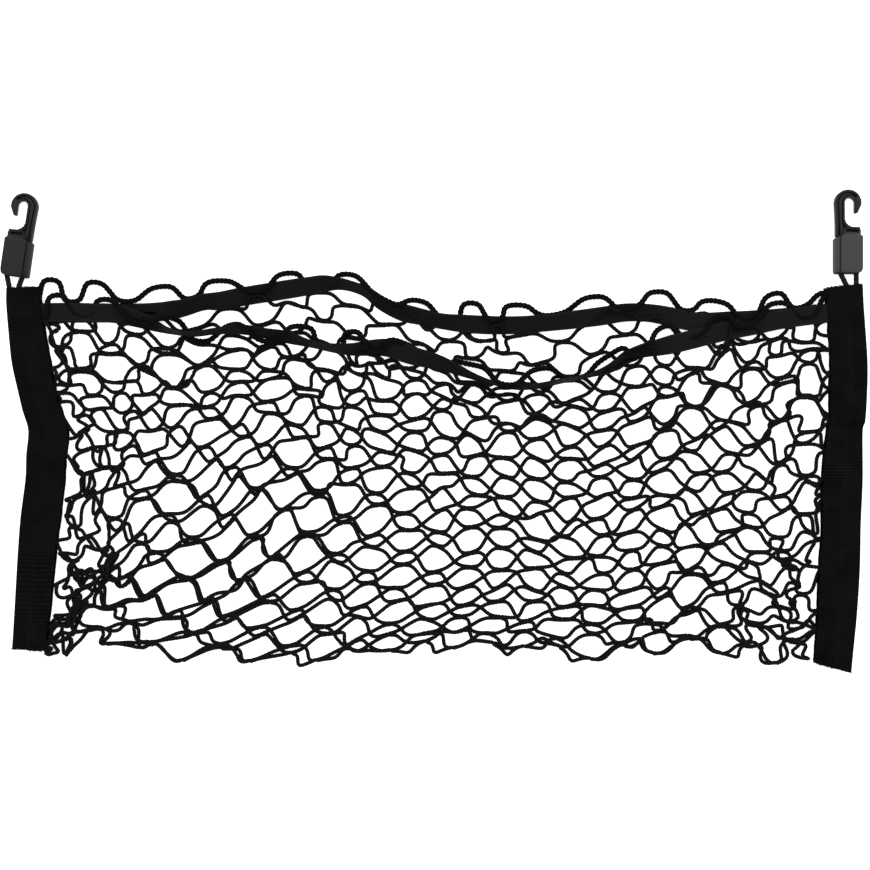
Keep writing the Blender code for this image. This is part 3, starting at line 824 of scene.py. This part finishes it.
def moulded(tree):
    """Fine moulded grain with a slight unevenness of sheen, and painted shade: darker and duller where the
    point attribute marks a groove or hollow.
    """
    grain = object_noise(tree, 1600.0, 3.0)
    soft = object_noise(tree, 60.0)
    # painted shade: the point attribute darkens grooves and hollows where shade falls
    lit = 1.0 - attribute(tree, "painted_shade")
    shade = (0.85 + 0.2 * (soft - 0.5) + 0.12 * (grain - 0.5)) * lit
    return shade, grain * 0.00002, 0.34 + 0.16 * soft + 0.4 * (1.0 - lit)


CORD = finish_material("net_cord", (0.0024,) * 3, (0.0098, 0.0098, 0.0101), 0.04,
                       knit(2.1, 0.7, 0.00022, 0.85))
EDGE_CORD = finish_material("net_edge_cord", (0.0006,) * 3, (0.0072, 0.0072, 0.0074), 0.03,
                            knit(2.6, 1.2, 0.0003, 0.85))
TAPE = finish_material("side_tape", (0.0010,) * 3, (0.0085, 0.0085, 0.0088), 0.025, woven)
ELASTIC = finish_material("elastic", (0.0045,) * 3, (0.0125, 0.0125, 0.0128), 0.04, stretch_weave)
SHOCK = finish_material("shock_cord", (0.0030,) * 3, (0.017, 0.017, 0.0173), 0.08,
                        knit(2.0, 2.2, 0.0003, 0.75))
HOOK = finish_material("hook_plastic", (0.0010,) * 3, (0.0078, 0.0078, 0.0081), 0.13, moulded)
# Both sleeves are one plastic: the right one's copy is lighter and glossier than the left's, painted light
# for the brighter reflection of the overhead light that it shows
SLEEVE_LEFT = finish_material("sleeve_plastic_left", (0.0010,) * 3, (0.0122, 0.0122, 0.0124), 0.1, moulded)
SLEEVE_RIGHT = finish_material("sleeve_plastic_right", (0.0010,) * 3, (0.0275, 0.028, 0.0285), 0.2, moulded)


# ---------------------------------------------------------------- elastics

def band_line(table, name, steps):
    """Middle line of an elastic, its sideways vector and its places, rolled as in its table."""
    places = table[:, 0]
    x = np.linspace(places[0], places[-1], steps)
    y = smooth(x, places, table[:, 1])
    roll = np.radians(np.clip(smooth(x, places, table[:, 2]), 0, 84))
    along = directions(np.stack([np.gradient(x), np.gradient(y)], axis=-1))
    aside = np.stack([-along[:, 1] * np.cos(roll), along[:, 0] * np.cos(roll), np.sin(roll)], axis=-1)
    reach = 20.0 if name == "back" else 60.0
    foot = BAND_FOOT[name] + (IN_TAPE_BAND[name] - BAND_FOOT[name]) * tape_share(x, y, reach)
    middle = foot + BAND_WIDTH / 2 * np.sin(roll) + BAND_THICK / 2 * np.cos(roll)
    return np.stack([x, y, middle], axis=-1), aside


def make_band(table, name):
    """A flat strip: its middle line plus shares of its width along the sideways vector."""
    centre, aside = band_line(table, name, BAND_STEPS)
    share = np.linspace(-1, 1, BAND_ACROSS)
    points = centre[:, None] + share[None, :, None] * BAND_WIDTH / 2 * aside[:, None]
    run = distances(centre[None])[0]
    across = share[None] * BAND_WIDTH / (2 * UV_SPAN)
    uv = np.stack(np.broadcast_arrays(across, run[:, None] / UV_SPAN), axis=-1)
    faces = [grid_faces(BAND_STEPS, BAND_ACROSS)]
    band = mesh_piece("elastic_" + name + "_band", points, faces, ELASTIC, uv=uv)
    thicken(band, BAND_THICK)
    return band, points, run[-1]


def band_grid(points):
    """Height grid of one elastic's upper side, from its points and those half way between."""
    grid = np.zeros(GRID_CELLS)
    fine = (points[:-1] + points[1:]) / 2
    for some in (points, fine):
        heap(grid, some[..., 0].ravel(), some[..., 1].ravel(), some[..., 2].ravel() + 0.6)
    return grid


# ---------------------------------------------------------------- netting pieces

def mouth_edge(name, cords):
    """The thick cord of a mouth edge, which runs on from joint to joint through the middles of its
    meshes' cords and is rounded by smoothing."""
    line = smoothed(cords[:, 4:-4].reshape(1, -1, 3), EDGE_PASSES)
    line = resample(line, int(run_length(line)[0] / EDGE_STEP))
    line[..., 2] = np.maximum(line[..., 2] + 0.5, EDGE_LOWEST)
    points, faces, values = tube_mesh(line, EDGE_WIDE, EDGE_HIGH, 10, beat=0.11, twist=2.0, lobes=2,
                                      pitch=9.0)
    return mesh_piece("mouth_edge_" + name, points, faces, EDGE_CORD, values)


column, row, first, last, paths = netting(np.random.default_rng(5))
shown = (column[first] > 0) & (column[last] < COLUMNS)
first, last, paths = first[shown], last[shown], paths[shown]
is_front = row < fold_rows(column)
mouth_row = np.where(is_front, row, ROWS - row)
left_limit = inner_edge(LEFT_TAPE, paths[..., 1]) - IN_TAPE
right_limit = inner_edge(RIGHT_TAPE, paths[..., 1]) + IN_TAPE
paths[..., 0] = np.clip(paths[..., 0], left_limit, right_limit)
held = tape_share(paths[..., 0], paths[..., 1], 1.0, 12.0)
# Between a tape's faces the netting stops short of both cuts.
low_end = np.where(paths[..., 0] < 0, -222.0, -234.0)
inside = (paths[..., 0] < left_limit + IN_TAPE) | (paths[..., 0] > right_limit - IN_TAPE)
paths[..., 1] = np.where(inside, np.clip(paths[..., 1], low_end, 148.0), paths[..., 1])

# A valley joint of a mouth edge lies over its elastic or under it by turns.
valley = np.where(mouth_row[first] == 0.5, first, np.where(mouth_row[last] == 0.5, last, -1))
over = (valley >= 0) & ((column[valley] // 2) % 2 == 0)
at_edge = (mouth_row[first] == 0) | (mouth_row[last] == 0)
of_front = is_front[first] & is_front[last]
ground = np.zeros(GRID_CELLS)
heights = np.zeros(paths.shape[:2])
bands = {}
for name, layer, table in (("back", ~of_front, BACK_BAND), ("front", of_front, FRONT_BAND)):
    band, band_points, band_run = make_band(table, name)
    bands[name] = (band, band_run)
    floor = CORD_HIGH + (IN_TAPE_NET[name] - CORD_HIGH) * held
    base = ground.copy()
    for above in (False, True):
        mine = layer & (over == above)
        if above:
            base = np.maximum(base, band_grid(band_points))
        heights[mine] = settle(paths[mine], first[mine], last[mine], len(column), base, floor[mine])
        where = paths[mine]
        heap(ground, where[..., 0].ravel(), where[..., 1].ravel(), heights[mine].ravel() + CORD_HIGH)
    if name == "back":
        ground = np.maximum(ground, band_grid(band_points))
heights = np.where(held > 0.95, np.minimum(heights, TAPE_NET_TOP), heights)
paths = np.concatenate([paths, heights[..., None]], axis=-1)

for name, layer in (("back", ~of_front), ("front", of_front)):
    mine = layer & ~at_edge
    points, faces, values = tube_mesh(paths[mine], CORD_WIDE, CORD_HIGH, SIDES)
    piece = mesh_piece("netting_" + name, points, faces, CORD, values)
    fit(piece, "net")
    mine = np.flatnonzero(layer & at_edge)
    mine = mine[np.argsort(column[first[mine]])]
    edge = mouth_edge(name, paths[mine])
    fit(edge, "net")
    band, band_run = bands[name]
    fit(band, "elastic_" + name)
    round(band_run / 1000, 3)


# ---------------------------------------------------------------- side tapes

def stitch_paths(x, y, lift):
    """Short threads along the seam at these places: one on the upper face, bulging as a cosine, and
    a flat one on the lower."""
    reach = np.linspace(-STITCH_HALF, STITCH_HALF, 6)
    stitches = []
    for height, bulge in ((lift + TAPE_THICK / 2, 0.18), (np.full_like(lift, 0.3), 0.0)):
        z = height[:, None] + bulge * np.cos(reach / STITCH_HALF * np.pi / 2)[None]
        stitches.append(np.stack([x[:, None] + 0 * reach[None], y[:, None] + reach[None], z], axis=-1))
    return np.concatenate(stitches)


def thread_paths(wander, inner, outer, width, room, way):
    """Loose thread ends along one cut of a tape, from both of its faces. Each runs straight out, and
    leans aside and falls with the square of its share."""
    share = wander.uniform(0, 1, THREADS)
    upper = wander.random(THREADS) > 0.35
    top = TAPE_THICK + np.where(share < 0.46, TAPE_OPEN, room)
    z = np.where(upper, top + TAPE_THICK / 2, TAPE_THICK / 2)
    x = inner[0] + np.sign(outer[0]) * share * (width + 2)
    y = inner[1] + share * (outer[1] - inner[1]) - way * 0.8
    long = wander.uniform(0.9, 1.9, THREADS)
    lean = wander.normal(0, 0.8, THREADS)
    s = np.linspace(0, 1, 5)
    return np.stack([
        x[:, None] + lean[:, None] * s ** 2 * 1.2,
        y[:, None] + way * long[:, None] * s * 1.1,
        np.maximum(z[:, None] - 0.3 * s ** 2, 0.3),
    ], axis=-1)


def make_tape(side, table):
    """A strip folded lengthwise: lower face, round fold along the outer edge, upper face climbing
    to its inner edge. Every other row is lifted a little, as ribs."""
    steps = np.linspace(0.0, 1.0, TAPE_ROWS)
    places = np.linspace(0.0, 1.0, len(table))
    outer_y, outer_x, inner_y, inner_x, room = (smooth(steps, places, table[:, k]) for k in range(5))
    sign = np.sign(outer_x[0])
    wander = np.random.default_rng(11 if side == "left" else 12)
    edge_noise = np.convolve(wander.normal(0, 0.5, TAPE_ROWS + 8), np.ones(9) / 9, "valid")
    inner_x = inner_x + edge_noise * 1.2
    radius = (room + TAPE_THICK) / 2
    fold_x = outer_x - sign * (radius + TAPE_THICK / 2)
    width = np.abs(fold_x - inner_x)
    rise = TAPE_OPEN + TAPE_THICK - 2 * radius
    low = np.full_like(steps, TAPE_THICK / 2)
    lines, widths = [], []
    for share in np.linspace(0.0, 1.0, TAPE_ACROSS):
        x = inner_x + sign * share * width
        lines.append(np.stack([x, inner_y + share * (outer_y - inner_y), low], axis=-1))
        widths.append(share * TAPE_WIDTH)
    for turn in np.radians(np.linspace(22.5, 157.5, 7)):
        x = inner_x + sign * width + sign * radius * math.sin(turn)
        lines.append(np.stack([x, outer_y, low + radius * (1 - math.cos(turn))], axis=-1))
        widths.append(TAPE_WIDTH + turn)
    for share in np.linspace(1.0, 0.0, 2 * TAPE_ACROSS):
        x = inner_x + sign * share * width
        up = low + 2 * radius + rise * float(ease((0.7 - share) / 0.24))
        lines.append(np.stack([x, inner_y + share * (outer_y - inner_y), up], axis=-1))
        widths.append(41.2 + (1 - share) * TAPE_WIDTH)
    points = np.stack(lines)
    across = points.shape[0]
    upper = np.linspace(0, 1, across)[:, None]
    soft = waves(wander, points[..., 0], points[..., 1], 0.25, 60)
    points[..., 2] += soft * ease((upper - 0.55) / 0.2)
    rib = np.where(np.arange(TAPE_ROWS) % 2, 0.05, -0.05)[None]
    over_side = (upper > 0.5) * 1.0 - (upper < 0.4) * 1.0
    points[..., 2] += rib * over_side
    points[..., 2] = np.maximum(points[..., 2], TAPE_THICK / 2)
    run = steps * (outer_y[0] - outer_y[-1])
    uv = np.stack(np.broadcast_arrays(np.array(widths)[:, None] / UV_SPAN, run[None] / UV_SPAN), axis=-1)
    quads = grid_faces(across, TAPE_ROWS)
    if sign < 0:
        quads = quads[:, ::-1]
    tape = mesh_piece("tape_" + side, points, [quads], TAPE, uv=uv)
    thicken(tape, TAPE_THICK)
    # seam along the inner edge, through both faces
    share = np.arange(6.0, run[-1] - 5.0, STITCH_STEP) / run[-1]
    seam_x = np.interp(share, steps, inner_x + sign * SEAM_IN)
    seam_y = np.interp(share, steps, inner_y)
    stitches = stitch_paths(seam_x, seam_y, np.interp(share, steps, points[-8, :, 2]))
    points, faces, values = tube_mesh(stitches, 0.34, 0.22, 6, beat=0.0)
    seam = mesh_piece("seam_" + side, points, faces, TAPE, values)
    # loose thread ends along both cuts
    ends = [
        thread_paths(wander, (inner_x[end], inner_y[end]), (outer_x[end], outer_y[end]), width[end],
                     room[end], way)
        for end, way in ((0, 1.0), (-1, -1.0))
    ]
    points, faces, values = tube_mesh(np.concatenate(ends), 0.28, 0.28, 5, beat=0.0)
    fray = mesh_piece("thread_ends_" + side, points, faces, TAPE, values)
    for piece in (tape, seam, fray):
        fit(piece, "side_tape_" + side)
    length = float(np.abs(inner_y[0] - inner_y[-1])) / 1000


make_tape("left", LEFT_TAPE)
make_tape("right", RIGHT_TAPE)


# ---------------------------------------------------------------- hooks, sleeves and their cords

def hook_skins():
    """The hook as plates: a floor plate of the whole outline, higher rims along both sides, a web
    between them a little lower, a full tip, and the shoulder with its slot."""
    rim = arc(BEND_X, BEND_Y, BEND_OUTER, -8, 180, 40)
    tip = arc(8.1, 42.0, 1.7, -190, -20, 10)
    throat = arc(THROAT_X, BEND_Y, THROAT_RADIUS, 180, 0, 24)
    cheek = np.array([(9.0, 25.2), (4.0, 25.8), (0.2, 27.8), (-2.6, 30.4), (-4.0, 34.0)])
    whole = np.concatenate([[(-13.2, 15.2), (9.0, 15.2)], cheek, throat, tip, rim])
    # painted shade: the floor plate, seen between rims and web as the grooves, is darkened by 0.75
    skins = [(plate(inset(whole, 0.3), 5.6, 8.0, 0.3), 0.75)]

    def ribbon(inner, outer, low, high):
        """A plate between two lines that run the same way, the inner one on their right."""
        skins.append((plate(np.concatenate([inner, outer[::-1]]), low, high, 0.45), 0.0))

    outer = np.concatenate([[(-13.2, 16.0), (-13.4, 33.0)], arc(BEND_X, BEND_Y, BEND_OUTER, 180, 34, 36)])
    inner = np.concatenate([[(-11.3, 16.0), (-10.9, 33.0)],
                            arc(BEND_X, BEND_Y, BEND_OUTER - 2.6, 180, 34, 36)])
    ribbon(inner, outer, HOOK_LOW, HOOK_HIGH)
    outer = np.concatenate([arc(THROAT_X, BEND_Y, THROAT_RADIUS, 34, 180, 26), cheek[::-1]])
    inner = np.concatenate([arc(THROAT_X, BEND_Y, THROAT_RADIUS + 2.3, 34, 180, 26),
                            [(-6.3, 34.0), (-5.2, 29.2), (-2.0, 25.4), (2.8, 23.8), (9.0, 23.4)]])
    ribbon(inner, outer, HOOK_LOW, HOOK_HIGH)
    outer = np.concatenate([[(-9.0, 17.0), (-9.6, 31.0)],
                            arc(BEND_X, BEND_Y, BEND_OUTER - 3.7, 180, 62, 30)])
    inner = np.concatenate([[(-4.6, 17.0), (-7.0, 31.0)],
                            arc(THROAT_X, BEND_Y, THROAT_RADIUS + 3.0, 180, 62, 30)])
    ribbon(inner, outer, HOOK_LOW + 0.2, HOOK_HIGH - 0.3)
    full = np.concatenate([arc(THROAT_X, BEND_Y, THROAT_RADIUS, 38, 0, 8), tip,
                           arc(BEND_X, BEND_Y, BEND_OUTER, -8, 38, 10)])
    skins.append((plate(full, HOOK_LOW, HOOK_HIGH, 0.6), 0.0))
    shoulder = np.array([(-6.6, 15.5), (12.4, 15.5), (12.4, 22.6), (11.2, 25.9), (3.6, 26.1),
                         (-1.6, 25.6), (-5.2, 24.4), (-6.4, 20.0)])
    slot = np.array([(-3.4, 20.9), (8.6, 20.6), (9.5, 21.3), (9.3, 22.8), (3.0, 23.2),
                     (-2.8, 23.4), (-3.8, 22.7), (-4.0, 21.6)])
    rings = [(shoulder, 3.4, 0.6), (shoulder, 4.0, 0.0), (shoulder, 10.0, 0.0), (shoulder, 10.7, 0.5),
             (slot, 10.7, -0.3), (slot, 10.5, 0.0), (slot, 10.4, 0.05), (slot, 7.4, 0.1)]
    rings = np.stack([np.column_stack([inset(o, away), np.full(8, z)]) for o, z, away in rings])
    # painted shade: the slot's lower walls and floor are painted fully dark
    skins.append((loft(rings), np.repeat((0, 0, 0, 0, 0, 0, 1, 1), 8).astype(float)))
    return joined(skins)


def sleeve_skin():
    """The hollow sleeve, drawn along its length from its inner end wall out over the open end and
    up to its sloped top: a low outer face on the hook's upright side, a shallow line, the broad
    face, and small edges."""
    stations = (
        # height, left, right, top, then how far the section is drawn in
        (-12.0, -14.0, 14.0, 14.0, 2.6), (-21.0, -13.8, 12.8, 13.9, 2.2),
        (-22.2, -12.6, 10.2, 13.0, 0.9), (-22.4, -12.9, 10.6, 13.4, 0.3),
        (-21.9, -13.5, 11.6, 13.8, 0.0), (-20.6, -13.9, 12.9, 14.0, 0.0),
        (-17.0, -14.0, 14.0, 14.0, 0.0), (13.6, -14.0, 14.0, 14.0, 0.0),
        (15.0, -12.6, 14.0, 14.0, 0.0), (16.2, -10.9, 13.7, 13.9, 0.0),
        (16.8, -10.3, 13.0, 13.5, 0.0), (18.6, -7.6, 11.4, 12.2, 0.0),
        (19.7, -6.8, 10.6, 11.3, 0.2), (20.2, -6.4, 10.2, 10.9, 0.6),
    )
    rings = []
    for y, left, right, top, away in stations:
        face = max(-10.2, left + 1.6)
        fall = 7.4 * min(1.0, (face - left) / 3.8)
        section = np.array([
            (left + 1.4, 0.0), (right - 1.4, 0.0), (right, 1.4), (right, top - 2.0),
            (right - 0.5, top - 0.8), (right - 1.9, top), (face + 0.75, top),
            (face + 0.3, top - 1.1), (face - 0.25, top - 1.3), (face - 0.7, top - 0.8),
            (left + 0.6, top - 0.8 - fall * 0.6), (left, top - 0.8 - fall), (left, 1.4),
        ])
        moved = inset(section, away)
        rings.append(np.column_stack([moved[:, 0], np.full(len(moved), y), moved[:, 1]]))
    points, faces = loft(np.stack(rings))
    # painted shade: the inner end wall fully dark and the ring after it partly, the shallow line dark, the
    # low outer face a little darker, and that face's lowest end at the open end dark
    painted_shade = np.zeros((len(stations), 13))
    painted_shade[0], painted_shade[1] = 1.0, 0.6
    painted_shade[:, 9:] = 0.18
    painted_shade[:, 7:9] = 0.65
    painted_shade[2:5, 8:12] = 0.8
    return points, [np.asarray(part)[:, ::-1] for part in faces], painted_shade.ravel()


def placed(skin, side):
    """A skin from the hook's own frame to the tables' frame, turned inside out if mirrored."""
    points, faces = skin[:2]
    (cx, cy), turn, mirrored, _ = HOOK_PLACES[side]
    angle = math.radians(turn)
    x = points[:, 0] * (-1 if mirrored else 1)
    y = points[:, 1]
    moved = np.column_stack([
        cx + x * math.cos(angle) - y * math.sin(angle),
        cy + x * math.sin(angle) + y * math.cos(angle),
        points[:, 2],
    ])
    return moved, [np.asarray(part)[:, ::-1] for part in faces] if mirrored else faces


def cord_path(side):
    """The cord's middle line: up from the tape, through the sleeve, round the eye and back, with
    its corners rounded by averaging each point with its neighbours."""
    ends = HOOK_PLACES[side][3]
    reach = 8.6
    loop = np.concatenate([[(-reach, -21.0), (-reach, -14.0)], arc(-4.0, -7.6, 4.6, 180, 90, 5),
                           arc(4.0, -7.6, 4.6, 90, 0, 5), [(reach, -14.0), (reach, -21.0)]])
    loop = np.column_stack([loop, np.full(len(loop), MIDDLE)])
    loop, _ = placed((loop, []), side)
    if loop[0, 0] > loop[-1, 0]:
        loop = loop[::-1]
    held_at = TAPE_THICK + 2.75
    tails = []
    for end, near in zip(ends, (loop[0], loop[-1])):
        foot = np.array((end[0], end[1], held_at))
        lip = np.array((end[0], 154.0, held_at))
        tails.append(np.stack([foot, lip, lip + 0.35 * (near - lip), lip + 0.75 * (near - lip)]))
    path = np.concatenate([tails[0], loop, tails[1][::-1]])
    return smoothed(resample(path[None], 200), 20)


for side, plastic in (("left", SLEEVE_LEFT), ("right", SLEEVE_RIGHT)):
    skin = hook_skins()
    points, faces = placed(skin, side)
    # each hook and sleeve carries its painted shade as a point attribute
    hook = mesh_piece("hook_body_" + side, points, faces, HOOK, {"painted_shade": skin[2]}, sharp=35)
    skin = sleeve_skin()
    points, faces = placed(skin, side)
    sleeve = mesh_piece("sleeve_" + side, points, faces, plastic, {"painted_shade": skin[2]}, sharp=28)
    points, faces, values = tube_mesh(cord_path(side), 2.65, 2.4, 12, beat=0.05, twist=3.0, lobes=6,
                                      pitch=14.0)
    cord = mesh_piece("hook_cord_" + side, points, faces, SHOCK, values)
    for piece, node, slot in ((hook, "hook_" + side, "hook_plastic"),
                              (sleeve, "hook_sleeve_" + side, "sleeve_plastic"),
                              (cord, "cord_loop_" + side, "shock_cord")):
        fit(piece, node)


# ---------------------------------------------------------------- floor, light and camera

def stage_material(name, colour, strength):
    """A matt material that also glows a little in white."""
    material = bpy.data.materials.new(name)
    material.use_nodes = True
    tree = material.node_tree
    shader = tree.nodes["Principled BSDF"]
    shader.inputs["Base Color"].default_value = (*colour, 1.0)
    shader.inputs["Roughness"].default_value = 1.0
    shader.inputs["Specular IOR Level"].default_value = 0.0
    shader.inputs["Emission Color"].default_value = (1.0, 1.0, 1.0, 1.0)
    shader.inputs["Emission Strength"].default_value = strength
    return material


FLOOR_HALF = 6.0
FLOOR_Z = -0.0004
VIEW_WIDTH = 0.9135      # metres across the view, at this distance
VIEW_AWAY = 1.146

floor_mesh = bpy.data.meshes.new("floor")
corners = [(x * FLOOR_HALF, y * FLOOR_HALF, FLOOR_Z) for x, y in ((-1, -1), (1, -1), (1, 1), (-1, 1))]
floor_mesh.from_pydata(corners, [], [(0, 1, 2, 3)])
floor = bpy.data.objects.new("floor", floor_mesh)
floor.data.materials.append(stage_material("pale_floor", (0.8, 0.8, 0.8), 0.75))
bpy.context.scene.collection.objects.link(floor)

world = bpy.data.worlds.new("studio")
world.use_nodes = True
world.node_tree.nodes["Background"].inputs["Color"].default_value = (1.0, 1.0, 1.0, 1.0)
world.node_tree.nodes["Background"].inputs["Strength"].default_value = 0.9
bpy.context.scene.world = world

for name, place, size, power in (
    ("soft_box_left", (-0.9, 0.9, 1.6), 1.2, 14.0),
    ("soft_box_right", (1.3, 0.7, 1.3), 1.0, 12.0),
):
    light = bpy.data.lights.new(name, "AREA")
    light.shape = "SQUARE"
    light.size = size
    light.energy = power
    lamp = bpy.data.objects.new(name, light)
    lamp.location = place
    away = -lamp.location
    lamp.rotation_mode = "QUATERNION"
    lamp.rotation_quaternion = away.to_track_quat("-Z", "Y")
    bpy.context.scene.collection.objects.link(lamp)

camera = bpy.data.cameras.new("camera")
camera.sensor_width = 36.0
camera.lens = 36.0 * VIEW_AWAY / VIEW_WIDTH
eye = bpy.data.objects.new("camera", camera)
eye.location = (-0.00078, -0.00051, 1.150)
bpy.context.scene.collection.objects.link(eye)
bpy.context.scene.camera = eye
bpy.context.scene.view_settings.view_transform = "Standard"
